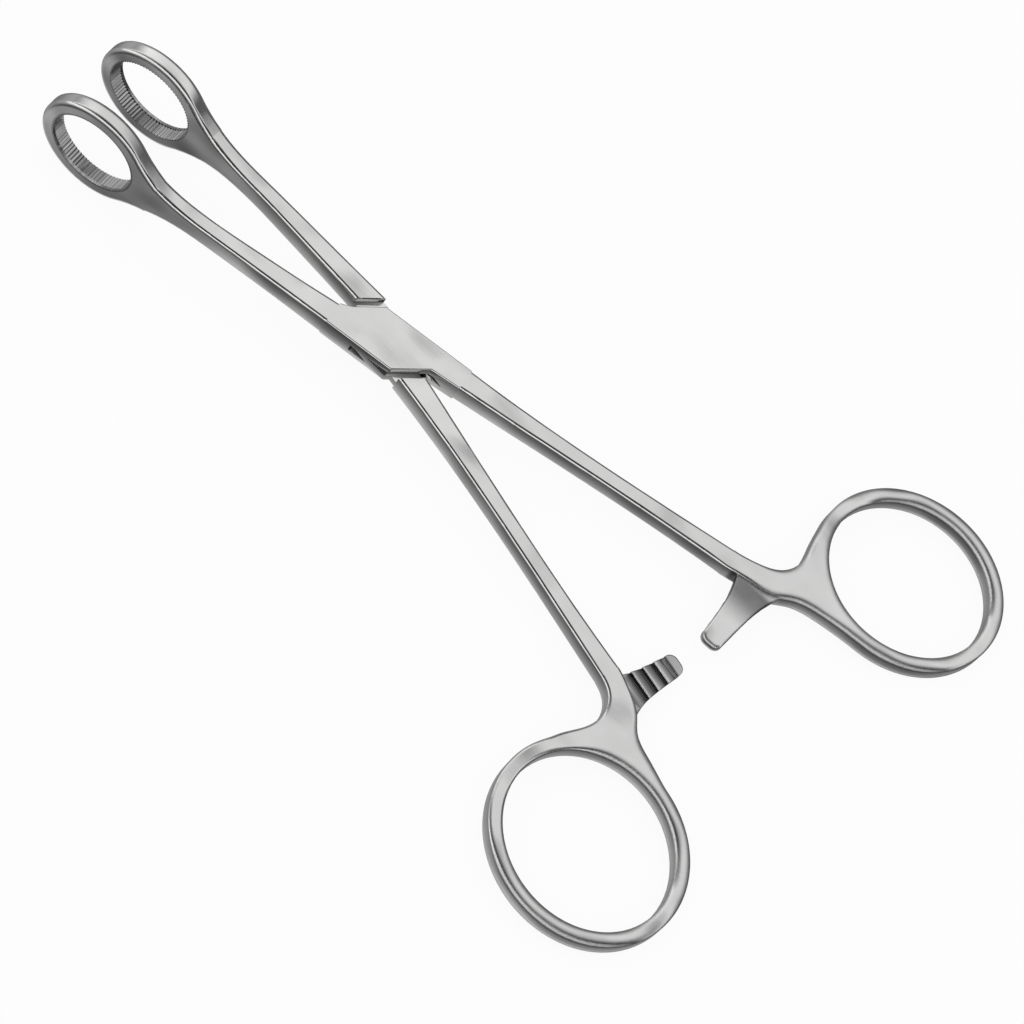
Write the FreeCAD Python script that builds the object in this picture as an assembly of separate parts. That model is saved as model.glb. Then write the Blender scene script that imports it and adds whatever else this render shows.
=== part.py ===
import FreeCAD, Part
import math
import os

# Ring-handled tissue forceps with a box lock, lying open.
# The pivot axis is Z, the middle plane of both halves is z = 0 and X runs towards the finger rings.
# The half with the box keeps its shank on the +Y side, the half through the box has it on -Y.
# Lengths are millimetres and turns are degrees, counter-clockwise seen from +Z.

V = FreeCAD.Vector

# Box lock
box_thickness = 3.8
box_half_width = 4.05
box_turn = 9.3
top_cheek = 1.45
slot_height = 1.3
slot_clearance = 0.05
cheek_reach = 5.0
cheek_turn = 49.7
low_cheek_end = 5.9
high_cheek_end = 4.8
box_arm_end = 8.6
box_arm_end_width = 3.9
box_shank_end_reach = 12.6
box_shank_end_width = 3.7
shoulder_reach = 6.4
waist_overlap = 0.5
hub_radius = 5.4
hub_half_width = 4.1
hub_gap = 0.12
box_edge_round = 0.22

# Pivot pin, riveted flush
pin_radius = 1.2
bore_clearance = 0.04

# Travel of the through half from the open rest
closing_turn = 10.2
opening_turn = 5.0

# Limb sections, and how far one forged form sits inside the next
edge_round = 0.45
shank_height = 3.2
arm_height = 3.5
seat = 0.03
root_overlap = 1.0

# Each limb follows its straighter edge: a point and a turn at its start and at its end
box_arm_widths = (3.95, 3.15, 2.65)
box_shank_edge_end = (57.0, 16.15)
shank_end_turn = 13.8
through_arm_edge = (-3.5, 4.6)
through_arm_turn = 0.0
through_arm_widths = (3.85, 3.25, 2.75)
through_shank_edge = (3.5, -3.3)
through_shank_turn = -8.4
through_shank_edge_end = (56.5, -14.75)

# Shank widths at root, middle and end
box_shank_widths = (3.7, 2.75, 3.25)
through_shank_widths = (4.2, 2.75, 3.3)

# Jaw loops
loop_half_length = 7.05
loop_half_height = 6.6
loop_band = 2.2
loop_thickness = 2.7
loop_outer_round = 0.6
box_loop_centre = (-49.1, -10.65)
box_loop_turn = 5.3
box_jaw_turn = 12.0
through_loop_centre = (-49.65, 2.35)
through_loop_turn = 3.8
through_jaw_turn = 2.4
flare_reach = 21.0
flare_overlap = 3.0
plate_reach = 1.6
plate_overlap = 0.4

# Serrations across the inner wall of each loop
serration_count = 84
serration_depth = 0.2
serration_crest = 0.02
serration_lip = 0.45

# Finger rings
ring_band = 2.2
box_ring_centre = (78.35, 34.15)
box_ring_axes = (14.31, 13.06)
box_ring_turn = 9.3
through_ring_centre = (71.7, -34.7)
through_ring_axes = (14.85, 13.55)
through_ring_turn = -14.7

# Webs between shank and finger ring: points of their two sides in plan, then where these meet the ring
box_web_outer = [(61.05, 17.55), (64.1, 19.65), (65.2, 22.7), (64.2, 27.2)]
box_web_inner = [(61.5, 14.0), (65.4, 14.9), (68.3, 17.1), (72.4, 18.7)]
box_web_ends = (184, 268)
through_web_outer = [(59.2, -16.2), (60.5, -19.1), (59.9, -22.4), (58.2, -25.7)]
through_web_inner = [(60.5, -12.8), (64.0, -14.95), (65.85, -17.0), (70.4, -18.95)]
through_web_ends = (170, 92)

# Ratchet arms
ratchet_tip_width = 3.5
ratchet_taper = 1.5
ratchet_tip_round = 1.3
ratchet_gap = 0.1
ratchet_depth = 1.25
ratchet_edge_round = 0.3
tooth_pitch = 2.0
tooth_height = 0.6
tooth_count = 4
first_tooth = 1.5
tooth_crest = 0.1
box_ratchet_root = (63.07, 16.1)
box_ratchet_flares = (2.2, 1.4)
box_ratchet_tip = (64.05, 1.9)
through_ratchet_root = (60.29, -15.2)
through_ratchet_flares = (2.0, 2.2)
through_ratchet_tip = (62.85, -3.0)

# Ways to build, with no effect on the sizes above
limb_steps = 4
flare_steps = 4
side_steps = 5
reach = 200.0
tolerance = 0.01


def heading(turn):
    return V(math.cos(math.radians(turn)), math.sin(math.radians(turn)), 0)


def left_of(direction):
    return V(-direction.y, direction.x, 0)


def flat(point, height=0.0):
    return V(point[0], point[1], height)


def turned(shape, turn):
    copy = shape.copy()
    copy.rotate(V(0, 0, 0), V(0, 0, 1), turn)
    return copy


def prism(points, low, high):
    """Upright prism over a polygon in plan."""
    corners = [flat(p, low) for p in points]
    face = Part.Face(Part.makePolygon(corners + corners[:1]))
    return face.extrude(V(0, 0, high - low))


def slab(direction, near, far, low, high):
    """Everything between two lines square to a direction, measured from the pivot axis."""
    side = left_of(direction)
    corners = [direction * near - side * reach, direction * far - side * reach,
               direction * far + side * reach, direction * near + side * reach]
    return prism([(c.x, c.y) for c in corners], low, high)


def rounded_box_wire(centre, across, up, width, height, rounds):
    """Rectangle in the plane of two directions, with its four corners rounded."""
    signs = [(1, -1), (1, 1), (-1, 1), (-1, -1)]
    edges = []
    for i, (sx, sz) in enumerate(signs):
        r = rounds[i]
        corner = centre + across * (sx * width / 2) + up * (sz * height / 2)
        middle = corner - across * (sx * r) - up * (sz * r)
        outward = across * (sx * r / math.sqrt(2)) + up * (sz * r / math.sqrt(2))
        ends = [corner - across * (sx * r), corner - up * (sz * r)]
        if i % 2:
            ends.reverse()
        edges.append((ends[0], middle + outward, ends[1]))
    parts = []
    for i, (first, through, last) in enumerate(edges):
        parts.append(Part.Arc(first, through, last).toShape())
        parts.append(Part.makeLine(last, edges[(i + 1) % 4][0]))
    return Part.Wire(parts)


def along(start, start_turn, end, end_turn, s):
    """Point and turn at the share s of a smooth curve with the end points and turns given."""
    p, q = flat(start), flat(end)
    length = (q - p).Length
    a, b = heading(start_turn) * length, heading(end_turn) * length
    point = (p * (2 * s**3 - 3 * s**2 + 1) + a * (s**3 - 2 * s**2 + s)
             + q * (3 * s**2 - 2 * s**3) + b * (s**3 - s**2))
    rate = (p * (6 * s**2 - 6 * s) + a * (3 * s**2 - 4 * s + 1)
            + q * (6 * s - 6 * s**2) + b * (3 * s**2 - 2 * s))
    return point, math.degrees(math.atan2(rate.y, rate.x))


def through_three(values, s):
    """Smooth value at the share s through a first, middle and last value."""
    first, middle, last = values
    return first * (1 - s) * (1 - 2 * s) + middle * 4 * s * (1 - s) + last * s * (2 * s - 1)


def limb(start, start_turn, end, end_turn, inward, widths, heights, rounds, shares):
    """Limb whose one edge runs along a curve in plan and whose width lies on the side given."""
    wires = []
    for s in shares:
        edge, turn = along(start, start_turn, end, end_turn, s)
        side = left_of(heading(turn)) * inward
        width, height = widths(s), heights(s)
        centre = edge + side * (width / 2)
        wires.append(rounded_box_wire(centre, side, V(0, 0, inward), width - 2 * seat,
                                      height - 2 * seat, [rounds(s)] * 4))
    return Part.makeLoft(wires, True)


def shank(edge, turn, end, end_turn, inward, widths):
    shares = [i / limb_steps for i in range(limb_steps + 1)]
    heights = (box_thickness, shank_height, shank_height)
    return limb(edge, turn, end, end_turn, inward, lambda s: through_three(widths, s),
                lambda s: through_three(heights, s), lambda s: edge_round, shares)


def loop_size():
    return loop_half_length + loop_band, loop_half_height + loop_band


def flare_ends():
    """Where the flare leaves the loop: its distance from the loop's centre, half height and slope."""
    length, height = loop_size()
    meet = length - flare_overlap
    narrowing = math.sqrt(1 - (meet / length) ** 2)
    return meet, height * narrowing, -height * meet / (length**2 * narrowing)


def flare(distance):
    """Half height and slope of the side view, from the loop's outline down to the plain arm."""
    meet, high, slope = flare_ends()
    span = flare_reach - meet
    t = min((distance - meet) / span, 1.0)
    drop = high - arm_height / 2
    half = arm_height / 2 + drop * (2 * t**3 - 3 * t**2 + 1) + slope * span * (t**3 - 2 * t**2 + t)
    rate = drop * (6 * t**2 - 6 * t) / span + slope * (3 * t**2 - 4 * t + 1)
    return half, rate


def arm(edge, edge_turn, inward, widths, centre, loop_turn, jaw_turn):
    """Arm from the lock to the plate that carries the loop."""
    axis = heading(loop_turn)
    start_of_plate = loop_size()[0] + plate_reach - plate_overlap
    end = flat(centre) + axis * start_of_plate
    edge_end = end - left_of(axis) * (-inward * loop_thickness / 2)
    length = (edge_end - flat(edge)).Length
    swell = 1 - (flare_reach - start_of_plate) / length
    plain = (box_thickness, arm_height, arm_height)

    def grown(s):
        t = max(0.0, (s - swell) / (1 - swell))
        return 3 * t**2 - 2 * t**3

    def width(s):
        thin = through_three(widths, min(s / swell, 1.0))
        return thin + (loop_thickness - thin) * grown(s)

    def height(s):
        half = flare(start_of_plate + (1 - s) * length)[0]
        return through_three(plain, min(s / swell, 1.0)) + 2 * half - arm_height

    def rounds(s):
        return edge_round + (loop_outer_round - edge_round) * grown(s)

    shares = [i * swell / limb_steps for i in range(limb_steps)]
    shares += [swell + i * (1 - swell) / flare_steps for i in range(flare_steps + 1)]
    return limb(edge, edge_turn + 180, (edge_end.x, edge_end.y), jaw_turn + 180, inward,
                width, height, rounds, shares)


def oval(centre, first, second):
    """Ellipse with two half axes given as vectors, whichever of them is longer."""
    if first.Length >= second.Length:
        return Part.Ellipse(centre + first, centre + second, centre)
    return Part.Ellipse(centre + second, centre - first, centre)


def round_rims(plate, radius):
    """Rounds every curved edge of a plate; the straight ones are its corners and its cut end."""
    return plate.makeFillet(radius, [e for e in plate.Edges if e.Curve.TypeId != "Part::GeomLine"])


def jaw_plate(centre, turn):
    """Plate standing square to the opening plane: the loop's outline and the last of the flare."""
    axis, up = heading(turn), V(0, 0, 1)
    middle = flat(centre)
    length, height = loop_size()
    meet, high, slope = flare_ends()
    start = length + plate_reach
    low, rate = flare(start)
    third = (start - meet) / 3
    outline = []
    for sign in (1, -1):
        side = up * sign
        poles = [middle + axis * start + side * low,
                 middle + axis * (start - third) + side * (low - rate * third),
                 middle + axis * (meet + third) + side * (high + slope * third),
                 middle + axis * meet + side * high]
        curve = Part.BezierCurve()
        curve.setPoles(poles)
        outline.append((curve, poles))
    curve = oval(middle, axis * length, up * height)
    upper, lower = outline[0][1][-1], outline[1][1][-1]
    arc = Part.ArcOfEllipse(curve, curve.parameter(upper), curve.parameter(lower))
    edges = [outline[0][0].toShape(), arc.toShape(), outline[1][0].toShape(),
             Part.makeLine(outline[1][1][0], outline[0][1][0])]
    face = Part.Face(Part.Wire(Part.__sortEdges__(edges)))
    side = left_of(axis)
    face.translate(side * (-loop_thickness / 2))
    return round_rims(face.extrude(side * loop_thickness), loop_outer_round)


def loop_hole(centre, turn, grip_side):
    """Plain hole through the loop, and the serrated wall that opens on its gripping face."""
    axis = heading(turn)
    side = left_of(axis) * grip_side
    middle = flat(centre)
    curve = oval(middle, axis * loop_half_length, V(0, 0, 1) * loop_half_height)
    plain = Part.Face(Part.Wire([curve.toShape()]))
    plain.translate(side * -loop_thickness)
    points = []
    for i in range(2 * serration_count):
        angle = math.pi * i / serration_count
        more = serration_depth if i % 2 else serration_crest
        points.append(middle + axis * ((loop_half_length + more) * math.cos(angle))
                      + V(0, 0, 1) * ((loop_half_height + more) * math.sin(angle)))
    wall = Part.Face(Part.makePolygon(points + points[:1]))
    wall.translate(side * (serration_lip - loop_thickness / 2))
    return [plain.extrude(side * (2 * loop_thickness)), wall.extrude(side * loop_thickness)]


def ring_curve(centre, axes, turn, outward):
    axis = heading(turn)
    return oval(flat(centre), axis * (axes[0] + outward), left_of(axis) * (axes[1] + outward))


def ring_point(centre, axes, turn, outward, at):
    """Point beside a ring's middle line, at an angle counted about its centre, and the way the ring runs."""
    axis = heading(turn)
    across = left_of(axis)
    share = math.radians(at)
    first, second = axis * (axes[0] + outward), across * (axes[1] + outward)
    point = flat(centre) + first * math.cos(share) + second * math.sin(share)
    way = second * math.cos(share) - first * math.sin(share)
    return point, way.normalize()


def side_curve(points, first_way, last_way):
    """Smooth curve through points, with the way it leaves the first and reaches the last."""
    curve = Part.BSplineCurve()
    curve.interpolate(Points=points, InitialTangent=first_way, FinalTangent=last_way, Scale=False)
    return curve.toShape()


def handle_plate(spot, outer, inner, ends, edge_end, end_turn, inward, width):
    """Finger ring and its web in one plate, from the end of the shank round to the shank again."""
    ahead = heading(end_turn)
    across = left_of(ahead) * inward
    start_outer = flat(edge_end)
    start_inner = start_outer + across * width
    rim = ring_band / 2
    first, first_way = ring_point(*spot, rim, ends[0])
    last, last_way = ring_point(*spot, rim, ends[1])
    way = 1 if ends[0] > ends[1] else -1
    outer_points = [start_outer] + [flat(p) for p in outer] + [first]
    inner_points = [last] + [flat(p) for p in reversed(inner)] + [start_inner]
    curve = ring_curve(*spot, rim)
    begin, finish = (first, last) if way > 0 else (last, first)
    arc = Part.ArcOfEllipse(curve, curve.parameter(begin), curve.parameter(finish))
    edges = [side_curve(outer_points, ahead, first_way * way), arc.toShape(),
             side_curve(inner_points, last_way * way, ahead * -1),
             Part.makeLine(start_inner, start_outer)]
    outline = Part.Wire(Part.__sortEdges__(edges))
    face = Part.Face(outline).cut(Part.Face(Part.Wire([ring_curve(*spot, -rim).toShape()])))
    face.translate(V(0, 0, -shank_height / 2))
    return round_rims(face.extrude(V(0, 0, shank_height)), edge_round)


def ratchet_arm(root, tip, facing, flares):
    """Tapered bar with saw teeth on the side that faces up (+1) or down (-1), flared at its root."""
    start, end = flat(root), flat(tip)
    direction = (end - start).normalize()
    side = left_of(direction)
    length = (end - start).Length
    crest = -facing * ratchet_gap / 2
    plain = length - ratchet_tip_round
    sides = {}
    for sign, spread in zip((-1, 1), flares):
        points = []
        for i in range(side_steps + 1):
            s = i / side_steps
            half = (ratchet_tip_width + ratchet_taper * (1 - s)) / 2 + spread * (1 - s) ** 4
            points.append(start + direction * (plain * s) + side * (sign * half))
        curve = Part.BSplineCurve()
        curve.interpolate(points)
        sides[sign] = (curve.toShape(), points[0], points[-1])
    low, high = sides[-1][2], sides[1][2]
    width = (high - low).Length
    corner = ratchet_tip_round / math.sqrt(2)
    turn_in = side * (ratchet_tip_round - corner) + direction * corner
    flat_low = low + side * ratchet_tip_round + direction * ratchet_tip_round
    flat_high = flat_low + side * (width - 2 * ratchet_tip_round)
    mirrored = side * -(ratchet_tip_round - corner) + direction * corner
    edges = [sides[-1][0], Part.Arc(low, low + turn_in, flat_low).toShape(),
             Part.makeLine(flat_low, flat_high), Part.Arc(flat_high, high + mirrored, high).toShape(),
             sides[1][0], Part.makeLine(sides[1][1], sides[-1][1])]
    face = Part.Face(Part.Wire(Part.__sortEdges__(edges)))
    face.translate(V(0, 0, crest))
    bar = face.extrude(V(0, 0, -facing * ratchet_depth))
    outer = crest - facing * ratchet_depth
    rim = [e for e in bar.Edges
           if abs(e.BoundBox.ZMin - outer) < tolerance and abs(e.BoundBox.ZMax - outer) < tolerance
           and e.CenterOfMass.distanceToPoint(start + V(0, 0, outer)) > ratchet_tip_width]
    bar = bar.makeFillet(ratchet_edge_round, rim)
    level = V(0, 0, crest)
    for i in range(tooth_count):
        steep = end - direction * (first_tooth + i * tooth_pitch)
        shallow = steep - direction * (tooth_pitch - tooth_crest)
        notch = [steep + level, shallow + level, steep + level - V(0, 0, facing * tooth_height)]
        notch = [p - side * reach for p in notch]
        bar = bar.cut(Part.Face(Part.makePolygon(notch + notch[:1])).extrude(side * (2 * reach)))
    return bar


def box_plan():
    """Plan of the box between its two plain sides and the free edges of its cheeks."""
    axis = heading(box_turn)
    side = left_of(axis)
    free = heading(cheek_turn)
    out = left_of(free)

    def meet(offset, sign):
        across = side * offset
        share = (sign * cheek_reach - across.dot(out)) / axis.dot(out)
        return across + axis * share

    low_corner = meet(-box_half_width, -1)
    high_corner = meet(box_half_width, 1)
    low_notch = out * -cheek_reach + free * low_cheek_end
    high_notch = out * cheek_reach - free * high_cheek_end
    low_root = side * -box_half_width - axis * box_arm_end
    high_root = side * box_half_width + axis * box_shank_end_reach
    points = [low_root, low_corner, low_notch, high_root - side * box_shank_end_width, high_root,
              high_corner, high_notch, low_root + side * box_arm_end_width]
    return [(p.x, p.y) for p in points]


def hub(grow, low, high):
    """Thin round of the through half inside the box, with two flat sides, grown by a running gap."""
    disc = Part.makeCylinder(hub_radius + grow, high - low, V(0, 0, low))
    across = left_of(heading(box_turn - closing_turn))
    return disc.common(slab(across, -hub_half_width - grow, hub_half_width + grow, low, high))


def swept_tongue(grow, low, high):
    """Room for the waist between the hub and both shoulders."""
    strips = []
    for edge, turn, width in ((through_arm_edge, through_arm_turn + 180, through_arm_widths[0]),
                              (through_shank_edge, through_shank_turn, through_shank_widths[0])):
        direction = heading(turn)
        inside = left_of(direction)
        start = flat(edge) - inside * grow
        end = start + direction * shoulder_reach
        across = inside * (width + 2 * grow)
        corners = [start, end, end + across, start + across]
        strips.append(prism([(c.x, c.y) for c in corners], low, high))
    return strips[0].fuse(strips[1])


def slot_levels():
    high = box_thickness / 2 - top_cheek
    return high - slot_height, high


def is_limb_end(edge, direction):
    return abs(edge.tangentAt(edge.FirstParameter).dot(direction)) < tolerance


def box_half():
    body = prism(box_plan(), -box_thickness / 2, box_thickness / 2)
    axis = heading(box_turn)
    side = left_of(axis)
    edges = [e for e in body.Edges if e.BoundBox.ZLength < tolerance
             and not is_limb_end(e, axis)]
    body = body.makeFillet(box_edge_round, edges)
    arm_edge = side * -box_half_width - axis * (box_arm_end - root_overlap)
    shank_edge = side * box_half_width + axis * (box_shank_end_reach - root_overlap)
    limbs = [arm(arm_edge, box_turn, -1, box_arm_widths, box_loop_centre, box_loop_turn, box_jaw_turn),
             shank(shank_edge, box_turn, box_shank_edge_end, shank_end_turn, -1, box_shank_widths)]
    spot = (box_ring_centre, box_ring_axes, box_ring_turn)
    handle = handle_plate(spot, box_web_outer, box_web_inner, box_web_ends,
                          box_shank_edge_end, shank_end_turn, -1, box_shank_widths[2])
    ratchet = ratchet_arm(box_ratchet_root, box_ratchet_tip, -1, box_ratchet_flares)
    loop = jaw_plate(box_loop_centre, box_loop_turn)
    low, high = slot_levels()
    swept = swept_tongue(hub_gap, low, high)
    slot = Part.makeCylinder(hub_radius + hub_gap, high - low, V(0, 0, low))
    slot = slot.fuse([turned(swept, closing_turn), turned(swept, -opening_turn), swept])
    whole = body.fuse(limbs + [loop, handle, ratchet]).cut(slot)
    for tool in loop_hole(box_loop_centre, box_loop_turn, 1):
        whole = whole.cut(tool)
    pin_hole = Part.makeCylinder(pin_radius, box_thickness * 2, V(0, 0, -box_thickness))
    return whole.cut(pin_hole)


def through_half():
    out = left_of(heading(cheek_turn))
    tall = box_thickness * 4
    low, high = slot_levels()
    low, high = low + slot_clearance, high - slot_clearance
    front = arm(through_arm_edge, through_arm_turn, 1, through_arm_widths,
                through_loop_centre, through_loop_turn, through_jaw_turn)
    back = shank(through_shank_edge, through_shank_turn, through_shank_edge_end, -shank_end_turn, 1,
                 through_shank_widths)
    past = shoulder_reach + waist_overlap
    between = slab(out, -past, past, low, high)
    waist = [front.common(between), back.common(between)]
    front = front.common(slab(out, shoulder_reach, reach, -tall, tall))
    back = back.common(slab(out, -reach, -shoulder_reach, -tall, tall))
    spot = (through_ring_centre, through_ring_axes, through_ring_turn)
    handle = handle_plate(spot, through_web_outer, through_web_inner, through_web_ends,
                          through_shank_edge_end, -shank_end_turn, 1, through_shank_widths[2])
    ratchet = ratchet_arm(through_ratchet_root, through_ratchet_tip, 1, through_ratchet_flares)
    loop = jaw_plate(through_loop_centre, through_loop_turn)
    whole = hub(0, low, high).fuse(waist + [front, back, loop, handle, ratchet])
    for tool in loop_hole(through_loop_centre, through_loop_turn, -1):
        whole = whole.cut(tool)
    bore = Part.makeCylinder(pin_radius + bore_clearance, box_thickness * 2, V(0, 0, -box_thickness))
    return whole.cut(bore)


def pivot_pin():
    return Part.makeCylinder(pin_radius, box_thickness, V(0, 0, -box_thickness / 2))


def main():
    os.makedirs("parts", exist_ok=True)
    shapes = {"box_half": box_half(), "through_half": through_half(), "pivot_pin": pivot_pin()}
    for name, shape in shapes.items():
        solid = shape.Solids[0]
        print(name, len(shape.Solids), "solid,", round(solid.Volume, 1), "cubic mm,", solid.isValid())
        solid.exportStep("parts/" + name + ".step")


main()
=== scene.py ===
import math

import bpy
from mathutils import Matrix, Vector

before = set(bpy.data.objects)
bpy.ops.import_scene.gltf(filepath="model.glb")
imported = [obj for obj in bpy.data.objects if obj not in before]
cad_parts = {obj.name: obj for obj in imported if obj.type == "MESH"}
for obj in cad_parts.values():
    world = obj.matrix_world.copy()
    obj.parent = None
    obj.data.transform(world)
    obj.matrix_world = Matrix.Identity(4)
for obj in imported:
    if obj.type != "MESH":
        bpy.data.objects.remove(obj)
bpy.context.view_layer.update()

MM = 0.001

# Camera of the photograph: where it stands, two of its axes and its focal length in pixels
CAMERA_PLACE = Vector((66.74, -333.0, 559.0)) * MM
CAMERA_RIGHT = Vector((0.70815, 0.62803, 0.32266))
CAMERA_DOWN = Vector((0.70386, -0.59185, -0.39279))
IMAGE_SIZE = 1024
FOCAL_PIXELS = 4500
SENSOR = 36.0
CLIP_START = 0.01
CLIP_END = 20

# The instrument rests on its loops and its finger rings: a point of the floor below each
FLOOR_LOW = Vector((-49.0, 0.0, -8.85)) * MM
FLOOR_HIGH = Vector((93.8, 0.0, -1.63)) * MM
FLOOR_REACH = 6.0
FLOOR_GREY = 0.93
FLOOR_ROUGHNESS = 0.9
FLOOR_SPECULAR = 0.1
# Share of plain white in what the camera sees of the floor
FLOOR_GLOW = 0.93

# Light of the surround on everything but mirrors
PLAIN_LIGHT = 0.8
# What mirrored rays meet, from the horizon in front over the zenith to the horizon behind
SKY = [
    (0.00, 0.70), (0.12, 0.95), (0.19, 1.10), (0.235, 2.00), (0.285, 0.12), (0.40, 0.02),
    (0.51, 0.08), (0.59, 0.40), (0.65, 0.95), (0.70, 0.95), (0.76, 0.50), (0.84, 0.14),
    (0.92, 0.12), (1.00, 0.20)]
# The same for the floor, a painted glow that only mirrored rays see, from rays that run level to
# rays that go straight down
GROUND = [
    (0.00, 0.20), (0.25, 0.14), (0.50, 0.06), (0.64, 0.08), (0.80, 0.20), (0.90, 0.38),
    (1.00, 0.75)]
# What both gain for rays towards the side of the jaws, and from which slope to which it grows
SIDE_GLOW = 0.30
SIDE_START = 0.30
SIDE_END = 0.95

# How far edges look rubbed round, on the jaws, the handles and the ratchet bars
ROUND_SAMPLES = 8
ROUND_JAW = 0.0004
ROUND_HANDLE = 0.0013
ROUND_BARS = {"box_half": 0.0007, "through_half": 0.00028}

# How strongly side faces look curved with height, and flanks of teeth tipped
BARREL = 95.0
BARREL_JAW = -5.0
LEAN_JAW = 5.0
TEETH_TILT = -0.15

# Windows of the loops: half length and half height, and their centres and turns in plan
WINDOW = (7.05, 6.6)
WINDOW_PLACES = {"box_half": ((-49.1, -10.65), 5.3), "through_half": ((-49.65, 2.35), 3.8)}
# Where the row of visible teeth ends, and over what length the change fades
TEETH_ENDS = {"through_half": -0.0052}
TEETH_FADE = 0.0003
TIP_FADE = 0.0001

# Places in metres between which a treatment of the surface sets in
HANDLES_X = (0.058, 0.066)
RATCHET_Y = (0.0125, 0.0150)
BARS_X = (0.058, 0.059)
RIMS_X = (-0.0395, -0.042)
JAWS_X = (-0.034, -0.040)
JAW_MIDDLE = -0.049
THIN_X = (-0.036, -0.018)
THIN_Z = 0.0017
TEETH_X = (0.0575, 0.0580)
TEETH_Z = (0.0010, 0.0009)
TEETH_Y = (-0.0135, -0.0130)
BAR_SHADE_X = (0.0585, 0.0592)
BAR_SHADE_Z = (0.00150, 0.00140)
FAR_X = (0.010, 0.038)

# The same as shares of the way from a window's middle to its wall
RIMS_WINDOW = (1.10, 1.19)
WALLS_WINDOW = (1.05, 1.035)

# Where the plate of the lock meets a limb of its own half: start and end of each seam, its
# height, and how much more than sideways a normal there leans along the part
SEAMS_X = [((-0.0100, -0.0095), (-0.0068, -0.0073)), ((0.0108, 0.0113), (0.0138, 0.0133))]
SEAMS_Z = (0.00150, 0.00155)
SEAMS_LEAN = (0.02, 0.06)
UP = (0, 0, 1)

# Colour of the steel, and the part of it that clouds leave
STEEL = (0.74, 0.74, 0.735)
STEEL_CLOUDED = 0.9
CLOUD_STOPS = (0.3, 0.7)
ROUGHNESS = (0.09, 0.15)

# Limbs away from the lock: greys of their clouds and how much these cover
FAR_GREYS = (0.36, 0.46)
FAR_SHARE = 0.16

# Painted shade on the serrated walls of the windows: irregular dark streaks
PAINTED_STREAK_SHADE = [(0.36, 0.08), (0.5, 0.27), (0.64, 0.80)]
STREAK_ROUGHNESS = 0.8

# Painted shade in the grooves between the teeth and painted highlight on their crests, by their
# depth
GROOVES_Y = (-0.0150, -0.0140)
GROOVES_Z = (-0.00070, -0.00005)
GROOVE_SHADE_AND_HIGHLIGHT = [(0.0, 0.03), (0.35, 0.14), (0.75, 0.50), (0.95, 0.95)]

# Painted shade on the flat between the teeth and the root of their bar, on the land at its tip,
# and at
# the root of the other bar: greys of their clouds and how much these cover
FLAT_Y = ((-0.0118, -0.0122), (-0.0180, -0.0170))
FLAT_Z = ((-0.00013, -0.00010), (0.00003, 0.0))
FLAT_SHADE_GREYS = (0.16, 0.24)
FLAT_SHADE_SHARE = 0.8
TIP_SHADE_GREYS = (0.20, 0.42)
TIP_SHADE_SHARE = 0.7
ROOT_Y = ((0.0065, 0.0118), (0.0150, 0.0135))
ROOT_SHADE_GREYS = (0.10, 0.18)
ROOT_SHADE_SHARE = 0.9

# Scale and detail of the noises
CLOUD = (160, 3)
FINE = (5200, 2)
BRUSHED = (1500, 2)
BRUSH_STRETCH = (0.16, 1, 1)
SWELL = (85, 1)
STREAKS = (30, 5)

# Strength and height of the bumps, and what each noise adds to the grain
SWELL_BUMP = (1.0, 0.0012)
GRAIN_BUMP = (0.16, 0.00004)
GRAIN_BRUSHED = 0.7
GRAIN_FINE = 0.3

# Sockets of a Mix node, whose names aren't unique
VECTOR_A, VECTOR_B, VECTOR_OUT = 4, 5, 1
COLOUR_A, COLOUR_B, COLOUR_OUT = 6, 7, 2


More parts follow.
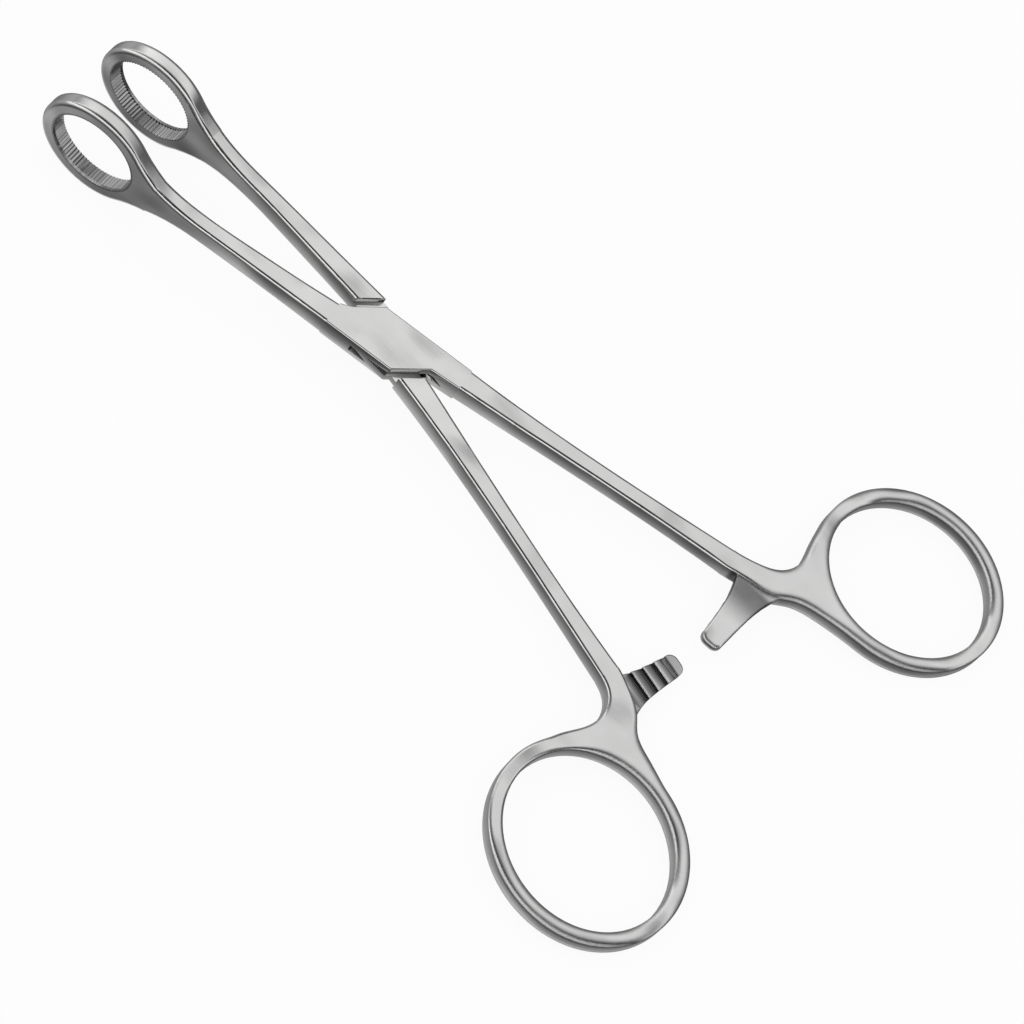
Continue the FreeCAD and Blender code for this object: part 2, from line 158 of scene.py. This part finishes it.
class Tree:
    """Shorthand for building one node tree."""

    def __init__(self, owner):
        owner.use_nodes = True
        self.nodes = owner.node_tree.nodes
        self.links = owner.node_tree.links

    def add(self, kind, **settings):
        node = self.nodes.new("ShaderNode" + kind)
        for key, value in settings.items():
            setattr(node, key, value)
        return node

    def join(self, source, target):
        """Links an output to an input, or gives the input a number."""
        if isinstance(source, (int, float)):
            target.default_value = source
        else:
            self.links.new(source, target)

    def math(self, operation, *values):
        node = self.add("Math", operation=operation)
        for value, socket in zip(values, node.inputs):
            self.join(value, socket)
        return node.outputs["Value"]

    def fold(self, operation, values):
        result = values[0]
        for value in values[1:]:
            result = self.math(operation, result, value)
        return result

    def product(self, *values):
        return self.fold("MULTIPLY", values)

    def total(self, *values):
        return self.fold("ADD", values)

    def rest(self, share):
        return self.math("SUBTRACT", 1.0, share)

    def limit(self, source, low, high):
        return self.math("MINIMUM", self.math("MAXIMUM", source, low), high)

    def step(self, source, start, end):
        """0 before start, 1 after end, soft between them."""
        node = self.add("MapRange", interpolation_type="SMOOTHSTEP")
        node.inputs["From Min"].default_value = start
        node.inputs["From Max"].default_value = end
        self.join(source, node.inputs["Value"])
        return node.outputs["Result"]

    def within(self, source, first, last):
        """1 between two soft steps."""
        return self.product(self.step(source, *first), self.step(source, *last))

    def spread(self, source, given, wanted=(0.0, 1.0)):
        """Maps one range evenly onto another."""
        node = self.add("MapRange")
        for key, value in zip(("From Min", "From Max", "To Min", "To Max"), given + wanted):
            node.inputs[key].default_value = value
        self.join(source, node.inputs["Value"])
        return node.outputs["Result"]

    def ramp(self, source, stops):
        """Colours or greys along a value."""
        node = self.add("ValToRGB")
        elements = node.color_ramp.elements
        while len(elements) < len(stops):
            elements.new(0.5)
        for element, (position, value) in zip(elements, stops):
            element.position = position
            element.color = (*value, 1) if isinstance(value, tuple) else (value, value, value, 1)
        self.join(source, node.inputs["Fac"])
        return node.outputs["Color"]

    def blend(self, share, first, second):
        node = self.add("Mix", data_type="RGBA")
        self.join(share, node.inputs["Factor"])
        self.join(first, node.inputs[COLOUR_A])
        self.join(second, node.inputs[COLOUR_B])
        return node.outputs[COLOUR_OUT]

    def split(self, vector):
        node = self.add("SeparateXYZ")
        self.join(vector, node.inputs["Vector"])
        return {key: node.outputs[key.upper()] for key in "xyz"}

    def vector(self, *values):
        node = self.add("CombineXYZ")
        for value, socket in zip(values, node.inputs):
            self.join(value, socket)
        return node.outputs["Vector"]

    def noise(self, place, scale, detail, stretch=(1, 1, 1), roughness=0.5):
        mapping = self.add("Mapping")
        mapping.inputs["Scale"].default_value = stretch
        self.join(place, mapping.inputs["Vector"])
        texture = self.add("TexNoise")
        texture.inputs["Scale"].default_value = scale
        texture.inputs["Detail"].default_value = detail
        texture.inputs["Roughness"].default_value = roughness
        self.join(mapping.outputs["Vector"], texture.inputs["Vector"])
        return texture.outputs["Fac"]

    def bump(self, height, normal, strength, distance):
        node = self.add("Bump")
        node.inputs["Strength"].default_value = strength
        node.inputs["Distance"].default_value = distance
        self.join(height, node.inputs["Height"])
        self.join(normal, node.inputs["Normal"])
        return node.outputs["Normal"]

    def either(self, share, first, second):
        """The first shader, and the second as far as the share says."""
        node = self.add("MixShader")
        self.join(share, node.inputs["Fac"])
        self.join(first, node.inputs[1])
        self.join(second, node.inputs[2])
        return node.outputs["Shader"]


def add_camera():
    data = bpy.data.cameras.new("camera")
    data.sensor_width = SENSOR
    data.lens = SENSOR * FOCAL_PIXELS / IMAGE_SIZE
    data.clip_start = CLIP_START
    data.clip_end = CLIP_END
    camera = bpy.data.objects.new("camera", data)
    right = CAMERA_RIGHT.normalized()
    ahead = right.cross(CAMERA_DOWN).normalized()
    down = ahead.cross(right)
    turn = Matrix((right, -down, -ahead)).transposed().to_4x4()
    camera.matrix_world = Matrix.Translation(CAMERA_PLACE) @ turn
    bpy.context.scene.collection.objects.link(camera)
    bpy.context.scene.camera = camera


def edge_radius(tree, at, window, round_bar):
    """How far edges look rubbed round: on the handles, the ratchet bars and the jaws' rims."""
    past_ratchet = tree.step(tree.math("ABSOLUTE", at["y"]), *RATCHET_Y)
    handle = tree.product(tree.step(at["x"], *HANDLES_X), past_ratchet, ROUND_HANDLE)
    bar = tree.product(tree.step(at["x"], *BARS_X), tree.rest(past_ratchet), round_bar)
    rim = tree.product(tree.step(at["x"], *RIMS_X), ROUND_JAW)
    if window is not None:
        rim = tree.product(rim, tree.step(window, *RIMS_WINDOW))
    return tree.total(handle, bar, rim)


def without_seams(tree, at, normal, slope):
    """The normal, set upright where the plate of the lock goes over into its own limbs."""
    near = tree.math("MAXIMUM", *[tree.within(at["x"], first, last) for first, last in SEAMS_X])
    along = tree.math("SUBTRACT", tree.math("ABSOLUTE", slope["x"]),
                      tree.math("ABSOLUTE", slope["y"]))
    seam = tree.product(near, tree.step(at["z"], *SEAMS_Z), tree.step(along, *SEAMS_LEAN))
    node = tree.add("Mix", data_type="VECTOR")
    tree.join(seam, node.inputs["Factor"])
    tree.join(normal, node.inputs[VECTOR_A])
    node.inputs[VECTOR_B].default_value = UP
    return node.outputs[VECTOR_OUT]


def added_lean(tree, at, slope, teeth_end):
    """What tips the normal: side faces are barrelled, and flanks of teeth lean over."""
    jaw = tree.step(at["x"], *JAWS_X)
    thin = tree.product(tree.limit(at["z"], -THIN_Z, THIN_Z), tree.step(at["x"], *THIN_X), BARREL)
    from_middle = tree.total(at["x"], -JAW_MIDDLE)
    tall = tree.total(tree.product(at["z"], BARREL_JAW), tree.product(from_middle, LEAN_JAW))
    lean = tree.total(tree.product(thin, tree.rest(jaw)), tree.product(tall, jaw))
    side = tree.rest(tree.math("ABSOLUTE", slope["z"]))
    teeth = 0.0
    if teeth_end:
        row = tree.within(at["y"], TEETH_Y, (teeth_end + TEETH_FADE, teeth_end))
        teeth = tree.product(tree.step(at["x"], *TEETH_X), tree.step(at["z"], *TEETH_Z), row,
                             TEETH_TILT)
    return tree.vector(0, teeth, tree.product(lean, side))


def rounded_normal(tree, at, window, round_bar, teeth_end):
    """Normal with the soft edges of polished forgings and slightly barrelled sides."""
    soft = tree.add("Bevel", samples=ROUND_SAMPLES)
    tree.join(edge_radius(tree, at, window, round_bar), soft.inputs["Radius"])
    normal = soft.outputs["Normal"]
    slope = tree.split(normal)
    total = tree.add("VectorMath", operation="ADD")
    tree.join(without_seams(tree, at, normal, slope), total.inputs[0])
    tree.join(added_lean(tree, at, slope, teeth_end), total.inputs[1])
    unit = tree.add("VectorMath", operation="NORMALIZE")
    tree.join(total.outputs["Vector"], unit.inputs[0])
    return unit.outputs["Vector"]


def about_window(tree, at, centre, turn):
    """Distance from the middle of a loop's window, 1 on its wall, and the angle about it."""
    cos, sin = math.cos(math.radians(turn)), math.sin(math.radians(turn))
    dx = tree.math("SUBTRACT", at["x"], centre[0] * MM)
    dy = tree.math("SUBTRACT", at["y"], centre[1] * MM)
    along = tree.total(tree.product(dx, cos), tree.product(dy, sin))
    u = tree.math("DIVIDE", along, WINDOW[0] * MM)
    w = tree.math("DIVIDE", at["z"], WINDOW[1] * MM)
    radius = tree.math("SQRT", tree.total(tree.product(u, u), tree.product(w, w)))
    return radius, tree.math("ARCTAN2", w, u)


def clouded(tree, cloud, dark, light):
    return tree.ramp(cloud, list(zip(CLOUD_STOPS, (dark, light))))


def bar_painted_shade(tree, at, cloud, tone, teeth_end):
    """Painted shade on top of a ratchet bar: dark grooves with painted highlight on their crests,
    a dark flat and land, or a dark root without teeth.
    """
    bar = tree.product(tree.step(at["x"], *BAR_SHADE_X), tree.step(at["z"], *BAR_SHADE_Z))
    if teeth_end:
        row = tree.within(at["y"], (teeth_end + TEETH_FADE, teeth_end), GROOVES_Y)
        # Painted shade deep in the grooves and painted highlight on the crests of the teeth
        groove_shade = tree.ramp(tree.spread(at["z"], GROOVES_Z), GROOVE_SHADE_AND_HIGHLIGHT)
        tone = tree.blend(tree.product(bar, row), tone, groove_shade)
        flat = tree.product(tree.within(at["y"], *FLAT_Y), tree.within(at["z"], *FLAT_Z))
        tip = tree.step(at["y"], teeth_end - TIP_FADE, teeth_end + TEETH_FADE)
        painted_shades = [(flat, FLAT_SHADE_SHARE, FLAT_SHADE_GREYS), (tip, TIP_SHADE_SHARE, TIP_SHADE_GREYS)]
    else:
        painted_shades = [(tree.within(at["y"], *ROOT_Y), ROOT_SHADE_SHARE, ROOT_SHADE_GREYS)]
    # Painted shade on the flat by the root and on the land at the tip, or at the root of the bar
    # without teeth
    for place, share, greys in painted_shades:
        tone = tree.blend(tree.product(bar, place, share), tone, clouded(tree, cloud, *greys))
    return tone


def steel(name, centre, turn, round_bar, teeth_end):
    """Satin steel, with a serrated window and a ratchet bar where the node has them, both
    carrying painted shade.
    """
    material = bpy.data.materials.new(name)
    tree = Tree(material)
    shader = tree.nodes["Principled BSDF"]
    shader.inputs["Metallic"].default_value = 1.0
    place = tree.add("TexCoord").outputs["Object"]
    at = tree.split(place)
    cloud = tree.noise(place, *CLOUD)
    tone = clouded(tree, cloud, tuple(value * STEEL_CLOUDED for value in STEEL), STEEL)
    window = None
    if centre:
        window, angle = about_window(tree, at, centre, turn)
        # Painted shade: irregular dark streaks on the serrated wall of the window
        shade_streak = tree.noise(tree.vector(angle, 0, 0), *STREAKS, roughness=STREAK_ROUGHNESS)
        wall = tree.step(window, *WALLS_WINDOW)
        tone = tree.blend(wall, tone, tree.ramp(shade_streak, PAINTED_STREAK_SHADE))
    far = tree.product(tree.step(tree.math("ABSOLUTE", at["x"]), *FAR_X), FAR_SHARE)
    tone = tree.blend(far, tone, clouded(tree, cloud, *FAR_GREYS))
    # Painted shade, with painted highlight on the crests of teeth, on top of a ratchet bar
    if round_bar:
        tone = bar_painted_shade(tree, at, cloud, tone, teeth_end)
    tree.join(tone, shader.inputs["Base Color"])
    tree.join(tree.spread(cloud, (0.0, 1.0), ROUGHNESS), shader.inputs["Roughness"])
    normal = rounded_normal(tree, at, window, round_bar, teeth_end)
    normal = tree.bump(tree.noise(place, *SWELL), normal, *SWELL_BUMP)
    brushed = tree.product(tree.noise(place, *BRUSHED, stretch=BRUSH_STRETCH), GRAIN_BRUSHED)
    fine = tree.product(tree.noise(place, *FINE), GRAIN_FINE)
    normal = tree.bump(tree.total(brushed, fine), normal, *GRAIN_BUMP)
    tree.join(normal, shader.inputs["Normal"])
    return material


def floor_material():
    """Nearly white for the camera, and a painted glow along the ramp of the ground for mirrored
    rays.
    """
    material = bpy.data.materials.new("floor")
    tree = Tree(material)
    path = tree.add("LightPath")
    shader = tree.nodes["Principled BSDF"]
    shader.inputs["Base Color"].default_value = (FLOOR_GREY, FLOOR_GREY, FLOOR_GREY, 1)
    shader.inputs["Roughness"].default_value = FLOOR_ROUGHNESS
    shader.inputs["Specular IOR Level"].default_value = FLOOR_SPECULAR
    white = tree.add("Emission").outputs["Emission"]
    shown = tree.product(path.outputs["Is Camera Ray"], FLOOR_GLOW)
    seen = tree.either(shown, shader.outputs["BSDF"], white)
    way = tree.split(tree.add("NewGeometry").outputs["Incoming"])
    glow = tree.product(tree.step(way["x"], SIDE_START, SIDE_END), SIDE_GLOW)
    # Painted glow of the floor, seen only by mirrored rays
    mirrored = tree.add("Emission")
    tree.join(tree.total(tree.ramp(way["z"], GROUND), glow), mirrored.inputs["Color"])
    whole = tree.either(path.outputs["Is Glossy Ray"], seen, mirrored.outputs["Emission"])
    tree.join(whole, tree.nodes["Material Output"].inputs["Surface"])
    return material


def add_floor():
    data = bpy.data.meshes.new("floor")
    along = (FLOOR_HIGH - FLOOR_LOW).normalized() * FLOOR_REACH
    across = Vector((0, 1, 0)) * FLOOR_REACH
    signs = [(-1, -1), (1, -1), (1, 1), (-1, 1)]
    data.from_pydata([FLOOR_LOW + along * a + across * b for a, b in signs], [], [(0, 1, 2, 3)])
    floor = bpy.data.objects.new("floor", data)
    bpy.context.scene.collection.objects.link(floor)
    data.materials.append(floor_material())


def add_world():
    """White for the camera, plain light for surfaces, and the ramp of the sky for mirrors."""
    world = bpy.data.worlds.new("studio")
    bpy.context.scene.world = world
    tree = Tree(world)
    tree.nodes.clear()
    plain, seen, mirrored = [tree.add("Background") for _ in range(3)]
    plain.inputs["Strength"].default_value = PLAIN_LIGHT
    for background in (plain, seen):
        background.inputs["Color"].default_value = (1, 1, 1, 1)
    way = tree.split(tree.add("TexCoord").outputs["Generated"])
    turn = tree.math("ARCTAN2", tree.math("ABSOLUTE", way["z"]), tree.product(way["y"], -1))
    glow = tree.product(tree.step(way["x"], -SIDE_START, -SIDE_END), SIDE_GLOW)
    sky = tree.ramp(tree.math("DIVIDE", turn, math.pi), SKY)
    tree.join(tree.total(sky, glow), mirrored.inputs["Color"])
    path = tree.add("LightPath")
    light = tree.either(path.outputs["Is Glossy Ray"], plain.outputs["Background"],
                        mirrored.outputs["Background"])
    whole = tree.either(path.outputs["Is Camera Ray"], light, seen.outputs["Background"])
    tree.join(whole, tree.add("OutputWorld").inputs["Surface"])


def dress(node, material):
    if not node.material_slots:
        node.data.materials.append(material)
    for slot in node.material_slots:
        slot.material = material


add_camera()
add_floor()
add_world()
bpy.context.scene.view_settings.view_transform = "Standard"

for name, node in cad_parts.items():
    centre, turn = WINDOW_PLACES.get(name, (None, 0.0))
    dress(node, steel(name + "_satin", centre, turn, ROUND_BARS.get(name, 0.0),
                      TEETH_ENDS.get(name, 0.0)))
